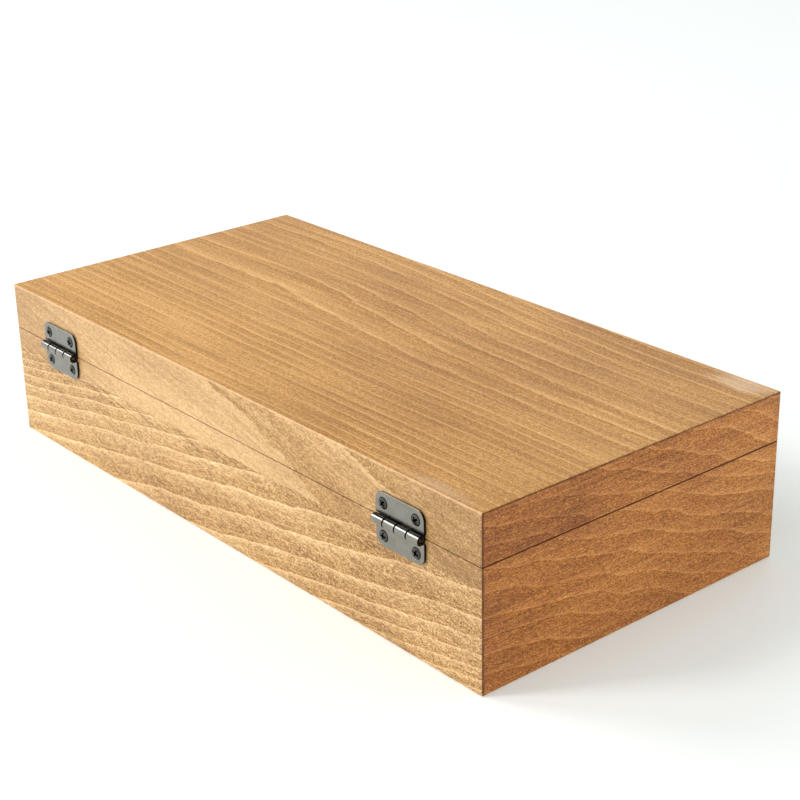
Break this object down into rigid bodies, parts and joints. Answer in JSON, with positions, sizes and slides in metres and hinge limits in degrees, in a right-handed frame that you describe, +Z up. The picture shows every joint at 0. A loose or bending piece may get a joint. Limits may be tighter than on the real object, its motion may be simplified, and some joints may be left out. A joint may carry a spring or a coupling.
{
  "type": "hinged wooden game case",
  "caption": "Shallow rectangular hardwood case with mitred corners, a sawn-off lid on small butt hinges and a swing hook; opens out into two trays.",
  "frame": {"origin": "centre of the underside of the case, on the surface it stands on", "axes": "+X along the length, +Y towards the long side that carries the hinges, +Z up through the lid"},
  "size_m": [0.305, 0.1569, 0.069],
  "materials": {
    "stained_hardwood": "satin golden-brown stain with open grain",
    "pewter_plate": "satin pewter plating",
    "screw_steel": "satin dark steel"
  },
  "bodies": {
    "body": {"body_back_wall": "stained_hardwood", "body_front_wall": "stained_hardwood", "body_left_wall": "stained_hardwood", "body_right_wall": "stained_hardwood", "bottom_panel": "stained_hardwood", "left_hinge_body_leaf": "pewter_plate", "right_hinge_body_leaf": "pewter_plate", "left_hinge_pin": "screw_steel", "right_hinge_pin": "screw_steel", "left_hinge_body_screw_1": "screw_steel", "left_hinge_body_screw_2": "screw_steel", "right_hinge_body_screw_1": "screw_steel", "right_hinge_body_screw_2": "screw_steel", "hook_plate": "pewter_plate", "hook_rivet": "screw_steel", "hook_plate_screw_1": "screw_steel", "hook_plate_screw_2": "screw_steel"},
    "lid": {"lid_back_rail": "stained_hardwood", "lid_front_rail": "stained_hardwood", "lid_left_rail": "stained_hardwood", "lid_right_rail": "stained_hardwood", "lid_top_panel": "stained_hardwood", "left_hinge_lid_leaf": "pewter_plate", "right_hinge_lid_leaf": "pewter_plate", "left_hinge_lid_screw_1": "screw_steel", "left_hinge_lid_screw_2": "screw_steel", "right_hinge_lid_screw_1": "screw_steel", "right_hinge_lid_screw_2": "screw_steel", "catch_plate": "pewter_plate", "catch_stud": "screw_steel", "catch_plate_screw_1": "screw_steel", "catch_plate_screw_2": "screw_steel"},
    "hook": {"latch_hook": "pewter_plate"}
  },
  "joints": [
    {"name": "lid_hinge", "type": "hinge", "parent": "body", "child": "lid", "pos_m": [0, 0.07695, 0.0489], "axis": [-1, 0, 0], "range_deg": [0, 180]},
    {"name": "hook_pivot", "type": "hinge", "parent": "body", "child": "hook", "pos_m": [0, -0.0765, 0.0399], "axis": [0, -1, 0], "range_deg": [-150, 180]}
  ]
}
